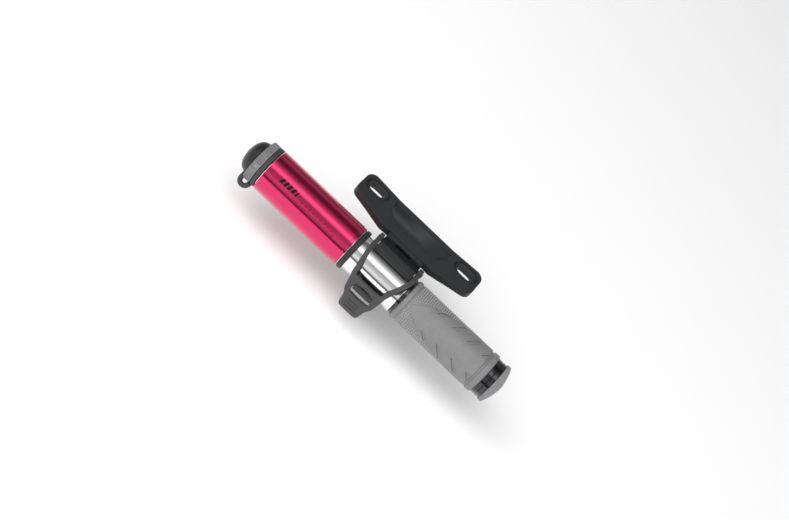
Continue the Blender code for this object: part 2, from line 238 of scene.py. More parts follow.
def along_pump(outline, left, right, ease, hole=None):
    """A closed (across, up) outline drawn out along the pump from left to right."""
    work = bmesh.new()
    rims = rim(work, outline) + (rim(work, hole) if hole else [])
    raise_faces(work, fill(work, rims), right - left)
    stand = Matrix(((0, 0, 1, left), (1, 0, 0, AXIS_Y), (0, 1, 0, AXIS_Z), (0, 0, 0, 1)))
    bmesh.ops.transform(work, matrix=stand, verts=work.verts)
    bmesh.ops.recalc_face_normals(work, faces=work.faces)
    soften(work, ease)
    return work


def finished(work, name, finish, body, slot, *replaced, sharp=38.0):
    """Closes a mesh that was worked in millimetres and puts it on its body."""
    bmesh.ops.remove_doubles(work, verts=work.verts, dist=1e-4)
    bmesh.ops.recalc_face_normals(work, faces=work.faces)
    bmesh.ops.scale(work, vec=(MM, MM, MM), verts=work.verts)
    mesh = bpy.data.meshes.new(name)
    work.to_mesh(mesh)
    work.free()
    mesh.materials.append(finish.material)
    mesh.shade_smooth()
    mesh.set_sharp_from_angle(angle=math.radians(sharp))
    obj = bpy.data.objects.new(name, mesh)
    bpy.context.scene.collection.objects.link(obj)
    if body:
        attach(obj, body)
    if replaced:
        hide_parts(*replaced)
    return obj


nylon = moulded("black_nylon", BLACK_PLASTIC, 0.48, 0.35, 0.02)

wing = [(17.6, PLATE_NEAR - 0.5), (30.0, -13.8)] + arc((36.5, -7.0), 5.0, -65, 0, 10)
wing += arc((36.5, 2.5), 5.0, 0, 90, 10) + [(20.0, 6.0)]
right_half = [(12.6, PLATE_NEAR)] + wing
left_half = [(-x, y) for x, y in wing[::-1]] + [(-11.6, PLATE_NEAR)]
panel = [(-14.0, -10.5), (14.0, -10.5), (20.0, -5.0), (20.0, 3.0), (-20.0, 3.0), (-20.0, -5.0)]
plate = bmesh.new()
upper_rims = rim(plate, right_half + left_half) + rim(plate, panel)
fill(plate, upper_rims[-len(panel):])
for middle in (-BOLT_X, BOLT_X):
    ends = (((middle + SLOT_HALF, 0.0), -90, 90), ((middle - SLOT_HALF, 0.0), 90, 270))
    seat, slot = (rim(plate, sum((arc(c, r, a, b, 14) for c, a, b in ends), [])) for r in (SEAT_R, SLOT_R))
    fill(plate, seat + slot)
    upper_rims += seat
for face in fill(plate, upper_rims):
    face.material_index = 1
plate_top = raise_faces(plate, plate.faces[:], PLATE_SUNK)
raise_faces(plate, [face for face in plate_top if face.material_index], PLATE_TOP - PLATE_SUNK)
for face in plate.faces:
    face.material_index = 0
bmesh.ops.recalc_face_normals(plate, faces=plate.faces)
soften(plate, 0.35)
finished(plate, "bracket_plate", nylon, "holder", "black_plastic", "bracket", sharp=20.0)

tab = bmesh.new()
tab_place = Matrix.Translation((0.5, (TAB_NEAR + PLATE_NEAR) / 2 + 0.2, PLATE_TOP / 2 - 0.15))
tab_shape = Matrix.Diagonal((24.2, PLATE_NEAR - TAB_NEAR + 0.4, PLATE_TOP - 0.4, 1.0))
bmesh.ops.create_cube(tab, size=1.0, matrix=tab_place @ tab_shape)
front = [face for face in tab.faces if face.normal.y < -0.9]
bmesh.ops.inset_region(tab, faces=front, thickness=1.15, depth=0.0)
pocket_half, pocket_depth = 5.1, 3.0
for vert in front[0].verts:
    vert.co.x = 0.5 + math.copysign(pocket_half, vert.co.x - 0.5)
pushed = bmesh.ops.extrude_face_region(tab, geom=front)["geom"]
inner = [item for item in pushed if isinstance(item, bmesh.types.BMVert)]
bmesh.ops.translate(tab, vec=(0.0, pocket_depth, 0.0), verts=inner)
bmesh.ops.delete(tab, geom=[face for face in front if face.is_valid], context="FACES_ONLY")
soften(tab, 0.3)
finished(tab, "cradle_tab", nylon, "holder", "black_plastic")

cradle = [round_pump(a, CRADLE_OUT + RIDGE_HEIGHT * (a in RIDGES)) for a in range(84, 141, 2)]
cradle += [(11.6, 8.0), (18.0, 8.0), (18.0, 7.4), (15.1, 6.9), (15.1, 3.2)]
cradle += [round_pump(a, CRADLE_OUT) for a in range(172, 253, 3)]
cradle += [round_pump(a, CRADLE_IN) for a in range(252, 83, -3)]
finished(along_pump(cradle, CRADLE_LEFT, CRADLE_RIGHT, 0.25), "cradle", nylon, "holder", "black_plastic")

hook = [round_pump(a, HOOK_OUT) for a in range(240, 331, 3)]
hook += [(-12.4, -6.5), (-14.8, -6.5), (-15.2, -6.0), (-15.4, -3.2), (-14.8, -2.6), (-11.0, -2.6)]
hook += [round_pump(a, HOOK_IN) for a in range(340, 239, -3)]
finished(along_pump(hook, -HOOK_HALF, HOOK_HALF, 0.4), "hook_arm", nylon, "holder", "black_plastic")

pin = [(PIN_ACROSS + u, PIN_UP + v) for u, v in arc((0.0, 0.0), PIN_R, 0, 350, 35)]
finished(along_pump(pin, -15.0, 16.4, 0.3), "strap_pins", nylon, "holder", "black_plastic")


# The barrel is drawn aluminium tube, flared where it meets the grip and then polished. A nylon
# guide bush with a rod seal is pressed into its open end, and a black ring fills the gap
# between the flare and the grip.
GUIDE_LEFT, BARREL_LEFT, BARREL_R, BARREL_BORE, NECK_R = -66.9, -63.7, 11.0, 9.5, 10.6
FLARE_START, FLARE_END, FLARE_R = 10.4, 15.2, 12.0
GRIP_LEFT, GRIP_RIGHT = 17.4, 74.6


def eased(outline, ease):
    """Rounds each inner corner of an open (along, radius) outline."""
    rounded = [outline[0]]
    for before, corner, after in zip(outline, outline[1:], outline[2:]):
        corner = Vector(corner)
        back, on = Vector(before) - corner, Vector(after) - corner
        start = corner + back.normalized() * min(ease, back.length * 0.4)
        end = corner + on.normalized() * min(ease, on.length * 0.4)
        rounded += [tuple(start), tuple((start + end) / 4 + corner / 2), tuple(end)]
    return rounded + [outline[-1]]


def turned(outline, ease=0.12, steps=128, hollow=True):
    """Spins an (along, radius) outline about the pump's axis. A hollow one closes down its bore."""
    chain = eased(outline, ease)
    chain = chain if hollow else [(chain[0][0], 0.0)] + chain + [(chain[-1][0], 0.0)]
    work = bmesh.new()
    points = [work.verts.new((x, AXIS_Y, AXIS_Z + radius)) for x, radius in chain]
    lines = [work.edges.new(pair) for pair in zip(points, points[1:])]
    if hollow:
        lines.append(work.edges.new((points[-1], points[0])))
    about = {"cent": (0, AXIS_Y, AXIS_Z), "axis": (1, 0, 0), "angle": 2 * math.pi}
    bmesh.ops.spin(work, geom=points + lines, steps=steps, use_merge=True, **about)
    bmesh.ops.remove_doubles(work, verts=work.verts, dist=1e-4)
    return work


def ring(left, right, radius, bore, ease=0.12, steps=96):
    return turned([(left, bore), (left, radius), (right, radius), (right, bore)], ease, steps)


def polished(name, colour, roughness, lines=0.05, coat=0.0):
    """Polished or turned metal: faint drawing lines round it, hazy patches and fine scratches."""
    finish = Finish(name, Metallic=1.0, Coat_Weight=coat)
    turning = finish.noise(0.09, 2.0, (1.0, 0.02, 0.02))
    haze, scratch = finish.noise(9.0, 4.0), finish.noise(0.5, 3.0, (0.03, 1.0, 1.0))
    dull = [0.86 * c for c in colour]
    finish.feed(finish.shader, "Base Color", finish.mixed(haze * 0.7 + scratch * 0.3, dull, colour))
    finish.feed(finish.shader, "Roughness", roughness + haze * 0.05 + turning * lines)
    finish.relief(turning * 0.6 + scratch * 0.4, 0.0004)
    return finish


silver = polished("polished_silver", (0.90, 0.90, 0.91), 0.09)
black_metal = polished("black_gloss_metal", (0.030, 0.030, 0.034), 0.10, coat=1.0)

flare = [(FLARE_START, BARREL_R), (12.6, 11.2), (14.2, 11.6), (FLARE_END, FLARE_R)]
tube = [(BARREL_LEFT, BARREL_BORE), (BARREL_LEFT, BARREL_R)] + flare
tube += [(FLARE_END, NECK_R), (GRIP_RIGHT, NECK_R), (GRIP_RIGHT, BARREL_BORE)]
finished(turned(tube, 0.25, 160), "barrel_tube", silver, "holder", "polished_aluminium", "barrel")

flange, spigot_end, rod_hole = BARREL_LEFT - 0.3, -57.5, 5.3
guide = [(GUIDE_LEFT, rod_hole), (GUIDE_LEFT, 10.4), (GUIDE_LEFT + 0.6, BARREL_R), (flange, BARREL_R)]
guide += [(flange, 9.2), (spigot_end, 9.2), (spigot_end, rod_hole)]
guide += [(-60.0, rod_hole), (-60.0, 7.2), (-62.6, 7.2), (-62.6, rod_hole)]  # the seal's groove
finished(turned(guide), "guide_bush", nylon, "holder", "black_plastic", "barrel_guide")
recess = ring(FLARE_END + 0.3, GRIP_LEFT - 0.3, 11.5, 10.9)
finished(recess, "recess_collar", black_metal, "holder", "black_anodised", "recess_ring")


# The grip is a moulded rubber sleeve pushed over the barrel's neck, with a plain bead at each
# end. Two smooth raised arrow-shaped islands run along it, with slanted grooves at their edges,
# and small moulded pips cover the rest.
GRIP_GREY = (0.175, 0.175, 0.177)
GRIP_BORE, BEAD_R, FIELD_R, ISLAND_R = 10.9, 12.2, 11.75, 12.05
FIELD_LEFT, FIELD_RIGHT = 21.2, 69.4
PATTERN_TURN = 44.0  # degrees round the pump of the first island's middle
ISLAND_EDGE = ((21.8, 0.0), (30.5, 34.0), (37.0, 42.0), (45.0, 57.0), (54.0, 75.0))
ISLAND_EDGE += ((60.0, 92.0), (75.0, 92.0))
GROOVES, GROOVE_INNER, GROOVE_OUTER, GROOVE_RUN = (34.8, 45.2, 55.6, 66.0), 28.0, 65.0, 6.5
PIP_ALONG, PIPS_ROUND, PIP_FOOT, PIP_TOP, PIP_HEIGHT = 1.3, 50, 0.5, 0.26, 0.5


def island_edge(along):
    """How far the smooth island reaches to each side of its middle, in degrees."""
    for (left, low), (right, high) in zip(ISLAND_EDGE, ISLAND_EDGE[1:]):
        if left <= along <= right:
            return low + (high - low) * (along - left) / (right - left)
    return -10.0


def from_island(turn):
    """Degrees from the middle of the nearer island."""
    return abs((turn - PATTERN_TURN + 90.0) % 180.0 - 90.0)


def polar(vert):
    """Radius of a vertex round the pump's axis, and its turn in radians."""
    across, up = vert.co.y - AXIS_Y, vert.co.z - AXIS_Z
    return math.hypot(across, up), math.atan2(up, -across)


def rescale(vert, share):
    """Moves a vertex straight towards or away from the pump's axis."""
    vert.co.y, vert.co.z = AXIS_Y + (vert.co.y - AXIS_Y) * share, AXIS_Z + (vert.co.z - AXIS_Z) * share


def stand_on_pump(along, turn, radius):
    """A place at that radius whose Z axis points away from the pump's axis."""
    outward = Vector((0.0, *round_pump(turn, 1.0)))
    spot = Vector((along, AXIS_Y, AXIS_Z)) + outward * radius
    return Matrix.Translation(spot) @ outward.to_track_quat("Z", "X").to_matrix().to_4x4()


def field_shape(along, turn):
    """Radius of the grip between its beads, and how deep in a groove that place is."""
    aside = from_island(turn)
    reach = math.radians(island_edge(along) - aside) * FIELD_R / 0.45
    radius = FIELD_R + (ISLAND_R - FIELD_R) * min(1.0, max(0.0, reach))
    groove = 0.0
    fade = min(1.0, max(0.0, (aside - GROOVE_INNER) / 2), max(0.0, (GROOVE_OUTER - aside) / 5))
    for start in GROOVES:
        centre = start + (aside - GROOVE_INNER) / (GROOVE_OUTER - GROOVE_INNER) * GROOVE_RUN
        sharp = max(0.0, 1.0 - abs(along - centre) / 0.42)
        shallow = max(0.0, 1.0 - abs(along - centre - 1.9) / 0.9)
        groove = max(groove, fade * (sharp + 0.25 * shallow))
        radius -= fade * (0.5 * sharp + 0.16 * shallow)
    return radius, groove


grip_rubber = moulded("grey_grip_rubber", GRIP_GREY, 0.42, 0.22, 0.012, 0.25)
# Painted highlight: the pips' rubber is 1.7 times lighter than the grip's, so they show as light spots, as
# if light caught their raised tops. It also carries heavier rubbed wear.
pip_wear_and_highlight_rubber = moulded("pip_rubber_wear_and_painted_highlight", [1.7 * c for c in GRIP_GREY], 0.45, 0.22, 0.008, 0.5)
# Painted shade: the grip's colour darkens towards a quarter of its grey with the depth of the grooves, which
# is stored per vertex as "groove".
groove_depth = grip_rubber.node("ShaderNodeAttribute", {"attribute_name": "groove"})
groove_shade = Value(grip_rubber, groove_depth.outputs["Fac"])
unshaded_grip_colour = grip_rubber.shader.inputs["Base Color"].links[0].from_socket
groove_shaded_colour = grip_rubber.mixed(groove_shade * 0.75, unshaded_grip_colour, [0.25 * c for c in GRIP_GREY])
grip_rubber.feed(grip_rubber.shader, "Base Color", groove_shaded_colour)

rows = int((FIELD_RIGHT - FIELD_LEFT) / 0.3)
field = [(FIELD_LEFT + (FIELD_RIGHT - FIELD_LEFT) * i / rows, FIELD_R) for i in range(rows + 1)]
left_bead = [(GRIP_LEFT, GRIP_BORE), (GRIP_LEFT, 11.7), (GRIP_LEFT + 0.5, BEAD_R)]
left_bead += [(19.9, BEAD_R), (20.3, 11.6), (20.8, 11.6)]
right_bead = [(69.8, FIELD_R), (70.0, 11.4), (71.0, 11.4), (71.3, BEAD_R), (GRIP_RIGHT - 0.5, BEAD_R)]
right_bead += [(GRIP_RIGHT, 11.8), (GRIP_RIGHT, GRIP_BORE)]
grip = turned(left_bead + field + right_bead, 0.0, 360)
groove_layer = grip.verts.layers.float.new("groove")
for vert in grip.verts:
    radius, turn = polar(vert)
    if FIELD_LEFT - 0.01 < vert.co.x < FIELD_RIGHT + 0.01 and radius > GRIP_BORE + 0.1:
        wanted, vert[groove_layer] = field_shape(vert.co.x, math.degrees(turn))
        rescale(vert, wanted / radius)
finished(grip, "grip_sleeve", grip_rubber, "holder", "grey_rubber", "grip")

pip = bmesh.new()
bmesh.ops.create_cone(
    pip, cap_ends=True, segments=8, radius1=PIP_FOOT, radius2=PIP_TOP, depth=PIP_HEIGHT
)
pip_mesh = bpy.data.meshes.new("pip")
pip.to_mesh(pip_mesh)
pip.free()
pips = bmesh.new()
for row in range(int((FIELD_RIGHT - FIELD_LEFT) / PIP_ALONG)):
    along = FIELD_LEFT + 0.6 + row * PIP_ALONG
    for place in range(PIPS_ROUND):
        turn = (place + row % 2 / 2) * 360.0 / PIPS_ROUND
        if from_island(turn) < island_edge(along) + 3.5 or along > FIELD_RIGHT - 0.6:
            continue
        stand = stand_on_pump(along, turn, FIELD_R + 0.1)
        pip_mesh.transform(stand)
        pips.from_mesh(pip_mesh)
        pip_mesh.transform(stand.inverted())
finished(pips, "grip_pips", pip_wear_and_highlight_rubber, "holder", "grey_rubber")


# The end plug is a black anodised disc pressed into the barrel, of which a grooved rim shows.
# Its O-ring seals the barrel. The end cap, a moulded plastic button with a milled edge and a
# shallow cone, is pushed into the plug's socket.
PLUG_LEFT, PLUG_RIGHT, PLUG_R, PLUG_GROOVE = 74.9, 80.0, 11.4, 77.45
END_LEFT, END_RIM, END_TIP, END_R = 80.3, 82.6, 85.8, 11.8
END_RIBS, END_RIB_DEPTH = 84, 0.28
END_GREY = (0.215, 0.215, 0.22)

plug = [(68.5, 9.2), (69.6, 9.2), (69.6, 8.0), (71.8, 8.0), (71.8, 9.2)]
plug += [(PLUG_LEFT, 9.2), (PLUG_LEFT, PLUG_R)]
plug += [(PLUG_GROOVE - 0.25, PLUG_R), (PLUG_GROOVE, 10.9), (PLUG_GROOVE + 0.25, PLUG_R)]
plug += [(PLUG_RIGHT, PLUG_R), (PLUG_RIGHT, 4.3), (76.0, 4.3)]
finished(turned(plug, 0.15, 144, False), "plug_rim", black_metal, "holder", "black_anodised", "end_plug")


def milled(work, ribs, depth, chosen):
    """Cuts even grooves along the pump into the vertices that chosen(along, radius, degrees) picks."""
    for vert in work.verts:
        radius, turn = polar(vert)
        if chosen(vert.co.x, radius, math.degrees(turn)) and math.cos(ribs * turn) < 0.0:
            rescale(vert, 1.0 - depth / radius)


def on_end_rim(along, radius, turn):
    return radius > 11.3 and END_LEFT + 0.35 < along < END_RIM + 0.1


cap_plastic = moulded("grey_cap_plastic", END_GREY, 0.50, 0.25, 0.01, 0.2)
button = [(77.0, 4.0), (END_LEFT, 4.0), (END_LEFT, 11.6), (END_LEFT + 0.3, END_R), (END_RIM, END_R)]
button += [(82.9, 11.4), (84.2, 8.4), (85.2, 5.0), (END_TIP, 1.8)]
end_button = turned(button, 0.1, END_RIBS * 4, False)
milled(end_button, END_RIBS, END_RIB_DEPTH, on_end_rim)
finished(end_button, "end_button", cap_plastic, "holder", "grey_plastic", "end_cap")


# The piston rod is a polished aluminium tube that carries the piston, its cup seal and the
# check valve at one end. These and the seals are working parts inside the pump, turned or
# moulded, and most show only when it is pulled apart.
ROD_LEFT, ROD_RIGHT, ROD_R, ROD_BORE = -72.7, 60.7, 5.0, 4.0
BLACK_RUBBER = (0.036, 0.036, 0.038)


def refinished(nodes, finish):
    """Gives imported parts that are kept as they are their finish."""
    for name in nodes:
        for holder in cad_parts[name].material_slots:
            holder.link = "OBJECT"
            holder.material = finish.material


rubber = moulded("black_rubber", BLACK_RUBBER, 0.60, 0.25, 0.01, 0.4)
turned_brass = polished("turned_brass", (0.80, 0.56, 0.24), 0.16, 0.12)
wire_steel = polished("drawn_wire_steel", (0.58, 0.58, 0.60), 0.18, 0.08)
rod = ring(ROD_LEFT, ROD_RIGHT, ROD_R, ROD_BORE, 0.2)
finished(rod, "rod_tube", silver, "sleeve_unit", "polished_aluminium", "piston_rod")
refinished(["piston", "head_block", "hose_stop"], nylon)
seals = ["piston_seal", "rod_seal", "end_plug_seal", "hose_end_seal", "head_gasket"]
refinished(seals, rubber)
refinished(["check_valve_disc", "hose_end_plug"], turned_brass)
refinished(["hose_ferrule"], silver)


# The check valve's spring is two turns of thin steel wire between the rod's end and the disc.
# It closes up as the disc lifts.
WIRE_R, COIL_R, COIL_LEFT, COIL_RIGHT = 0.15, 4.45, 60.95, 62.75
COIL_TURNS, STEPS_A_TURN = 2, 24

coil = bmesh.new()
coil_start = Vector((COIL_LEFT, AXIS_Y, AXIS_Z + COIL_R))
wire_section = Matrix.Translation(coil_start) @ Matrix.Rotation(math.pi / 2, 4, "X")
bmesh.ops.create_circle(coil, cap_ends=False, segments=12, radius=WIRE_R, matrix=wire_section)
steps = COIL_TURNS * STEPS_A_TURN
pitch = Vector(((COIL_RIGHT - COIL_LEFT) / steps, 0.0, 0.0))
about = {"cent": (0, AXIS_Y, AXIS_Z), "axis": (1, 0, 0), "angle": COIL_TURNS * 2 * math.pi}
bmesh.ops.spin(coil, geom=coil.verts[:] + coil.edges[:], steps=steps, dvec=pitch, **about)
bmesh.ops.holes_fill(coil, edges=[edge for edge in coil.edges if edge.is_boundary])
spring = finished(coil, "valve_spring", wire_steel, None, "spring_steel", "check_valve_spring")
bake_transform(spring)


# The sleeve is the handle: aluminium tube, polished, dyed pink in the anodising bath, with a
# bright cut chamfer at each end and a laser-marked strip of plain dashes. A black bush in its
# open end slides on the barrel.
SLEEVE_LEFT, SLEEVE_RIGHT, SLEEVE_R, SLEEVE_BORE = -79.6, -20.4, 12.7, 11.8
PINK, DEEP_PINK = (0.76, 0.032, 0.15), (0.60, 0.02, 0.11)
CUT_METAL, MARK_BLACK = (0.85, 0.80, 0.82), (0.015, 0.012, 0.014)
MARK_TURN = 43.0  # degrees round the pump of the marked strip
DASH_PITCH, DASH_HALF, DASH_SLANT = 2.6, 1.5, 0.35
BOLD_START, BOLD_END, TONAL_START, MARK_END, LINE_START = -71.0, -58.6, -56.6, -31.0, -60.0

anodised = Finish("pink_anodising", Coat_Weight=0.5, Coat_Roughness=0.10, Metallic=1.0)
along, turn = anodised.round_axis()
aside = (turn - MARK_TURN) * math.radians(SLEEVE_R)
haze, lines = anodised.noise(12.0, 3.0), anodised.noise(0.4, 3.0, (0.02, 1.0, 1.0))
dye = anodised.mixed(haze * 0.6 + lines * 0.4, DEEP_PINK, PINK)
slanted = (along - aside * DASH_SLANT) % DASH_PITCH
bold = (slanted < 1.7) * (abs(aside - 0.6) < DASH_HALF) * (along > BOLD_START) * (along < BOLD_END)
tonal = (slanted < 1.2) * (abs(aside + 0.3) < DASH_HALF * 0.8) * (along > TONAL_START) * (along < MARK_END)
underline = (abs(aside + 2.7) < 0.28) * (along > LINE_START) * (along < MARK_END)
etched = anodised.mixed((tonal + underline) * 0.55, dye, [0.45 * c for c in DEEP_PINK])
printed = anodised.mixed(bold, etched, MARK_BLACK)
chamfer = (along < SLEEVE_LEFT + 0.55) + (along > SLEEVE_RIGHT - 0.5)
anodised.feed(anodised.shader, "Base Color", anodised.mixed(chamfer, printed, CUT_METAL))
rough = 0.14 + haze * 0.05 + lines * 0.04 + (tonal + underline) * 0.22 + bold * 0.3
anodised.feed(anodised.shader, "Roughness", rough)
anodised.relief(lines, 0.0003)

mouth = SLEEVE_RIGHT - 5.0
shell = [(SLEEVE_LEFT, SLEEVE_BORE), (SLEEVE_LEFT, SLEEVE_R - 0.5), (SLEEVE_LEFT + 0.6, SLEEVE_R)]
shell += [(SLEEVE_RIGHT - 2.4, SLEEVE_R), (SLEEVE_RIGHT - 2.1, SLEEVE_R - 0.22)]
shell += [(SLEEVE_RIGHT - 0.5, SLEEVE_R - 0.3), (SLEEVE_RIGHT, SLEEVE_R - 0.7)]
shell += [(SLEEVE_RIGHT, 11.9), (mouth, 11.9), (mouth, SLEEVE_BORE)]
finished(turned(shell, 0.15, 192), "sleeve_tube", anodised, "sleeve_unit", "pink_anodised", "sleeve")

BUSH_RIGHT = -17.6
bush = [(mouth + 0.3, 11.3), (mouth + 0.3, 11.6), (-20.1, 11.6), (-20.1, 12.5)]
bush += [(-18.0, 12.5), (BUSH_RIGHT, 12.1), (BUSH_RIGHT, 11.3)]
finished(turned(bush), "sleeve_collar", nylon, "sleeve_unit", "black_anodised", "sleeve_bush")


# The valve head is moulded nylon with a socket for the tyre valve and a rubber gasket in it.
# It carries the hose, which is stored inside the piston rod and ends in a brass plug with a
# seal, so that it can be drawn out and pushed back.
NOZZLE_LEFT, NOZZLE_R = -91.0, 5.5
COLLAR_LEFT, COLLAR_RIGHT, RING_RIGHT = -87.0, -82.5, -79.9
HOSE_LEFT, HOSE_RIGHT, HOSE_R, HOSE_BORE = -80.2, 38.0, 2.9, 1.3

head = [(NOZZLE_LEFT, 4.2), (NOZZLE_LEFT, 5.1), (-90.6, NOZZLE_R), (COLLAR_LEFT, NOZZLE_R)]
head += [(COLLAR_LEFT, 6.4), (COLLAR_RIGHT, 6.4), (COLLAR_RIGHT, 6.4), (-82.2, 9.0)]
head += [(RING_RIGHT, 9.0), (RING_RIGHT, 5.0), (-74.0, 5.0)]
head += [(-74.0, 3.2), (-80.5, 3.2), (-80.5, 1.5), (-84.6, 1.5), (-84.6, 4.2)]
finished(turned(head, 0.1), "valve_head", nylon, "hose_unit", "black_plastic", "head_body")
hose = ring(HOSE_LEFT, HOSE_RIGHT, HOSE_R, HOSE_BORE, 0.2, 64)
finished(hose, "hose_tube", rubber, "hose_unit", "black_rubber", "hose")


# The lock ring is machined aluminium, satin anodised grey, with milled ribs round most of its
# rim and one raised dot that marks the locked side. It turns on the valve head.
RIM_R, MILLED_RIBS, MILLED_DEPTH = 12.4, 96, 0.22
DOT_ALONG, DOT_TURN, DOT_R, DOT_HEIGHT = -84.5, 27.0, 0.8, 0.6
PLAIN_HALF = 6.0  # degrees of plain rim on each side of the dot
SATIN_GREY = (0.19, 0.19, 0.195)


def on_lock_rim(along, radius, turn):
    return radius > 11.9 and -86.3 < along < -83.0 and abs(turn - DOT_TURN) > PLAIN_HALF


satin = moulded("satin_grey_anodising", SATIN_GREY, 0.34, 0.12, 0.002, 0.2)
satin.feed(satin.shader, "Metallic", 0.35)
lock = [(COLLAR_LEFT, 6.7), (COLLAR_LEFT, 12.0), (COLLAR_LEFT + 0.4, RIM_R), (-86.2, RIM_R), (-85.9, RIM_R)]
lock += [(-83.2, RIM_R), (COLLAR_RIGHT, RIM_R), (COLLAR_RIGHT, 6.7)]
lock_ring = turned(lock, 0.08, MILLED_RIBS * 4)
milled(lock_ring, MILLED_RIBS, MILLED_DEPTH, on_lock_rim)
finished(lock_ring, "lock_ring", satin, "collar", "grey_anodised", "head_collar")

dot = bmesh.new()
dot_place = stand_on_pump(DOT_ALONG, DOT_TURN, RIM_R - 0.25)
bmesh.ops.create_cone(
    dot, cap_ends=True, segments=32, radius1=DOT_R, radius2=DOT_R, depth=DOT_HEIGHT, matrix=dot_place
)
soften(dot, 0.15)
finished(dot, "lock_dot", cap_plastic, "collar", "grey_anodised")


# The dust cap, the ring behind the lock ring and the loop that joins them are moulded in soft
# black rubber. The loop is a bent finger of the ring that ends in the cap, and it bends as the
# cap is flipped off the valve head.
CAP_BASE, CAP_TIP, RING_LEFT = -87.3, -94.1, -82.2
LOOP_ALONG, LOOP_OUT, LOOP_R, LOOP_THICK = -84.8, 12.9, 2.7, 1.4
BELOW = math.radians(47.0)  # the loop lies this far below the side that faces -Y
CAP_BLACK = (0.011, 0.011, 0.012)

hollow = [(-92.0, 1.6), (-91.6, 5.2), (-90.0, 7.2), (CAP_BASE, 7.6)]
dome = [(CAP_BASE, 9.9), (-88.0, 9.9), (-89.2, 9.6), (-90.2, 9.2), (-91.0, 8.7), (-91.9, 7.9)]
dome += [(-92.5, 7.0), (-93.1, 5.8), (-93.5, 4.6), (-93.85, 3.0), (CAP_TIP, 1.6)]
dome_rubber = moulded("cap_rubber", CAP_BLACK, 0.38, 0.25, 0.01, 0.3)
cap = turned(hollow + dome, 0.2, 128, False)
finished(cap, "cap_dome", dome_rubber, "cap", "black_rubber", "dust_cap")
seat_ring = ring(RING_LEFT, RING_RIGHT, RIM_R, 9.3, 0.3, 128)
finished(seat_ring, "loop_ring", rubber, "hose_unit", "black_rubber", "tether_ring")

outward = Vector((0.0, -math.cos(BELOW), -math.sin(BELOW)))
side = outward.cross(Vector((1.0, 0.0, 0.0))).normalized()
middle = Vector((LOOP_ALONG, AXIS_Y, AXIS_Z)) + outward * LOOP_OUT
reach = Vector((LOOP_R, 0.0, 0.0))
loop = bmesh.new()
level = reach.normalized()
section = Matrix((level, side, level.cross(side))).transposed().to_4x4()
section.translation = middle + reach
bmesh.ops.create_circle(loop, cap_ends=False, segments=20, radius=LOOP_THICK, matrix=section)
about = {"cent": middle, "axis": level.cross(outward).normalized(), "angle": math.pi}
bmesh.ops.spin(loop, geom=loop.verts[:] + loop.edges[:], steps=32, **about)
# One foot sinks a little into the ring, the other reaches in to the cap's rim.
for toward, slide, sunk, share in ((1.0, 0.9, 1.2, 0.75), (-1.0, -0.4, 3.5, 0.65)):
    ends = [edge for edge in loop.edges if edge.is_boundary]
    mouth = [edge for edge in ends if (edge.verts[0].co.x - LOOP_ALONG) * toward > 0.0]
    grown = bmesh.ops.extrude_edge_only(loop, edges=mouth)["geom"]
    foot = [item for item in grown if isinstance(item, bmesh.types.BMVert)]
    about = Matrix.Translation(-(middle + reach * toward))
    bmesh.ops.scale(loop, vec=(share, share, share), space=about, verts=foot)
    bmesh.ops.translate(loop, vec=Vector((slide, 0.0, 0.0)) - outward * sunk, verts=foot)
bmesh.ops.holes_fill(loop, edges=[edge for edge in loop.edges if edge.is_boundary])
tether = finished(loop, "cap_loop", rubber, None, "black_rubber", "cap_tether")
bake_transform(tether)


# The strap is one moulding in black rubber. Its two eyes turn on the bracket's pins, its legs
# run over the barrel, and the bar below the window is pulled down over the hook by the tab.
STRAP_THICK, STRAP_R, EYE_R, EYE_BORE = 1.6, 13.3, 2.8, 1.6
LEG = (-14.7, -12.2, 13.2, 15.9)
TAB_OUT, PULL_RIDGES = 15.3, (-13.0, -15.6, -18.2)
STRAP_BLACK = (0.042, 0.042, 0.044)
# Each row of the strap has a place (across, up) and its four edges (along): outer, inner, inner, outer.
strap_path = [(11.9, 7.8)] + [round_pump(a, STRAP_R) for a in (126, 115, 103, 90, 75, 60, 40, 20, 8, 4)]
strap_path += [(-13.5, -1.7), (-15.0, -7.8), (-15.2, -8.8), (-TAB_OUT, -11.6), (-TAB_OUT, -15.0)]
strap_path += [(-15.2, -18.4), (-14.9, -21.0)]
strap_lines = [LEG] * 6 + [(-14.2, -11.6, 11.8, 14.6), (-13.3, -10.6, 9.9, 12.8), (-12.4, -9.5, 8.3, 11.1)]
strap_lines += [(-11.9, -9.3, 7.9, 10.4), (-11.8, -9.1, 7.8, 10.4), (-11.0, -6.4, 6.3, 10.2)]
strap_lines += [(-9.7, -6.4, 6.3, 9.3), (-9.2, -6.4, 6.3, 9.0), (-7.4, -5.6, 5.6, 7.4)]
strap_lines += [(-7.0, -5.4, 5.4, 7.0), (-6.8, -4.8, 4.8, 6.8), (-5.6, -3.4, 3.4, 5.6)]
CROSSBAR, TAB_START = 10, 13  # rows of faces: the bar that joins the legs, and the first of the tab

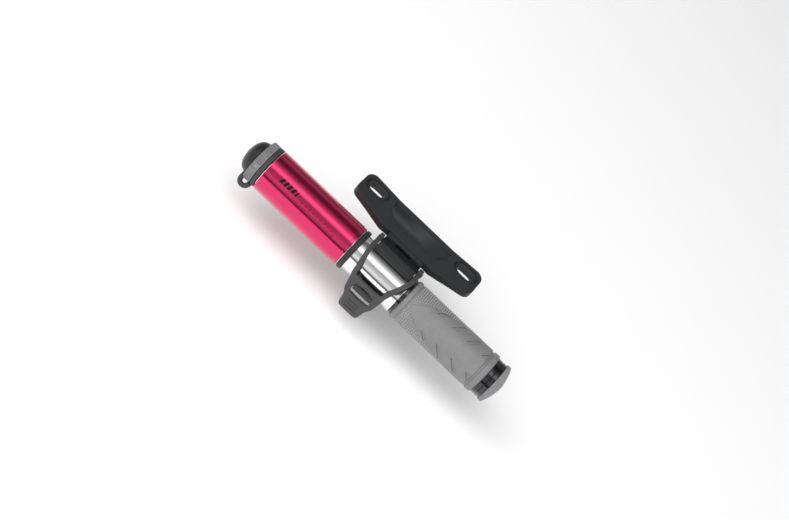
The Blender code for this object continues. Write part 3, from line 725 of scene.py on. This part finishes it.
strap_rubber = moulded("strap_rubber", STRAP_BLACK, 0.55, 0.3, 0.012, 0.35)
band = bmesh.new()
row = [band.verts.new((x, AXIS_Y + strap_path[0][0], AXIS_Z + strap_path[0][1])) for x in strap_lines[0]]
front_edges = [band.edges.new(pair) for pair in zip(row, row[1:])]
open_faces = []
for number, ((across, up), line) in enumerate(zip(strap_path[1:], strap_lines[1:])):
    grown = bmesh.ops.extrude_edge_only(band, edges=front_edges)["geom"]
    row = [item for item in grown if isinstance(item, bmesh.types.BMVert)]
    row.sort(key=lambda vert: vert.co.x)
    for vert, x in zip(row, line):
        vert.co = (x, AXIS_Y + across, AXIS_Z + up)
    faces = [item for item in grown if isinstance(item, bmesh.types.BMFace)]
    faces.sort(key=lambda face: face.calc_center_median().x)
    front_edges = [edge for edge in band.edges if edge.verts[0] in row and edge.verts[1] in row]
    if number != CROSSBAR and number < TAB_START:
        open_faces.append(faces[1])
bmesh.ops.delete(band, geom=open_faces, context="FACES")
strap_band = finished(band, "strap_band", strap_rubber, "strap", "black_rubber", "strap")
smooth = strap_band.modifiers.new("Smooth", "SUBSURF")
smooth.levels = smooth.render_levels = 2
thick = strap_band.modifiers.new("Thickness", "SOLIDIFY")
thick.thickness, thick.offset = STRAP_THICK * MM, 0.0
edge = strap_band.modifiers.new("Edge", "BEVEL")
edge.width, edge.segments, edge.limit_method = 0.4 * MM, 2, "ANGLE"

ridges = bmesh.new()
for up in PULL_RIDGES:
    spot = Matrix.Translation((0.0, AXIS_Y - TAB_OUT - STRAP_THICK / 2, AXIS_Z + up))
    bmesh.ops.create_cube(ridges, size=1.0, matrix=spot @ Matrix.Diagonal((7.0, 0.7, 0.9, 1.0)))
soften(ridges, 0.2)
finished(ridges, "pull_ridges", strap_rubber, "strap", "black_rubber")

eye_rim, eye_hole = (arc((PIN_ACROSS, PIN_UP), radius, 0, 354, 59) for radius in (EYE_R, EYE_BORE))
for name, left, right in (("strap_eye_left", LEG[0], LEG[1]), ("strap_eye_right", LEG[2], LEG[3])):
    eye = along_pump(eye_rim, left, right, 0.3, eye_hole)
    finished(eye, name, strap_rubber, "strap", "black_rubber")


# The floor is a wide pale board below the object. The sky's bright and dark bands leave long
# streaks on the polished tubes, as strip lights in a studio do. Two soft lamps, which don't show
# in reflections, light the rest.
SKY = ((0.0, 0.06), (0.045, 0.06), (0.08, 0.66), (0.15, 0.70), (0.20, 0.48), (0.26, 0.40))
SKY += ((0.30, 0.32), (0.335, 0.9), (0.36, 1.4), (0.415, 1.5), (0.455, 0.75), (0.53, 0.34))
SKY += ((0.60, 0.10), (0.70, 0.12), (0.78, 0.40), (0.87, 0.14), (0.96, 0.42), (1.0, 0.42))
SKY_STRENGTH = 1.25
FLOOR_DROP = 0.016  # room for the cap to hang below the pump when it is flipped open
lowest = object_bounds()[0].z

board = bmesh.new()
bmesh.ops.create_grid(board, x_segments=1, y_segments=1, size=8.0)
bmesh.ops.translate(board, vec=(0.0, 0.0, lowest - FLOOR_DROP), verts=board.verts)
board_mesh = bpy.data.meshes.new("floor")
board.to_mesh(board_mesh)
board.free()
paper = Finish("pale_paper", Roughness=0.9)
fibres = paper.mixed(paper.noise(40.0, 2.0), (0.95, 0.95, 0.95), (0.97, 0.97, 0.97))
paper.feed(paper.shader, "Base Color", fibres)
board_mesh.materials.append(paper.material)
floor = bpy.data.objects.new("floor", board_mesh)
bpy.context.scene.collection.objects.link(floor)

world = bpy.data.worlds.new("studio")
world.use_nodes = True
bpy.context.scene.world = world
sky = Graph(world.node_tree)
look = sky.node("ShaderNodeTexCoord").outputs["Generated"]
ways = sky.node("ShaderNodeSeparateXYZ", None, {0: look}).outputs
front_way, up_way = 0.0 - Value(sky, ways[1]), Value(sky, ways[2])
height = up_way.step("ARCTAN2", up_way, front_way) / math.pi
strips = sky.node("ShaderNodeValToRGB", {"stops": SKY}, {0: height})
background = world.node_tree.nodes["Background"]
sky.feed(background, "Color", strips.outputs[0])
sky.feed(background, "Strength", SKY_STRENGTH)

for name, wide, high, power, spot in (
    ("key", 1.3, 0.9, 9.5, Vector((-0.35, -0.55, 0.9))),
    ("fill", 1.0, 0.5, 2.5, Vector((0.1, -1.0, 0.25))),
):
    lamp = bpy.data.lights.new(name, "AREA")
    lamp.shape, lamp.size, lamp.size_y, lamp.energy = "RECTANGLE", wide, high, power
    light = bpy.data.objects.new(name, lamp)
    light.visible_glossy = False
    bpy.context.scene.collection.objects.link(light)
    light.location = spot
    light.rotation_euler = (-spot).to_track_quat("-Z", "Y").to_euler()

ELEVATION, ROLL = math.radians(43.0), math.radians(43.6)
AIM, DISTANCE, FRAME_WIDTH, SENSOR = Vector((0.0, -0.0272, 0.0007)), 0.75, 0.410, 36.0
back = Vector((0.0, -math.cos(ELEVATION), math.sin(ELEVATION)))
level, upright = Vector((1.0, 0.0, 0.0)), Vector((0.0, math.sin(ELEVATION), math.cos(ELEVATION)))
right = level * math.cos(ROLL) + upright * math.sin(ROLL)
facing = Matrix((right, back.cross(right), back)).transposed().to_4x4()
lens = bpy.data.cameras.new("camera")
lens.sensor_width, lens.lens = SENSOR, SENSOR * DISTANCE / FRAME_WIDTH
camera = bpy.data.objects.new("camera", lens)
bpy.context.scene.collection.objects.link(camera)
camera.matrix_world = Matrix.Translation(AIM + back * DISTANCE) @ facing
bpy.context.scene.camera = camera
bpy.context.scene.view_settings.view_transform = "Standard"
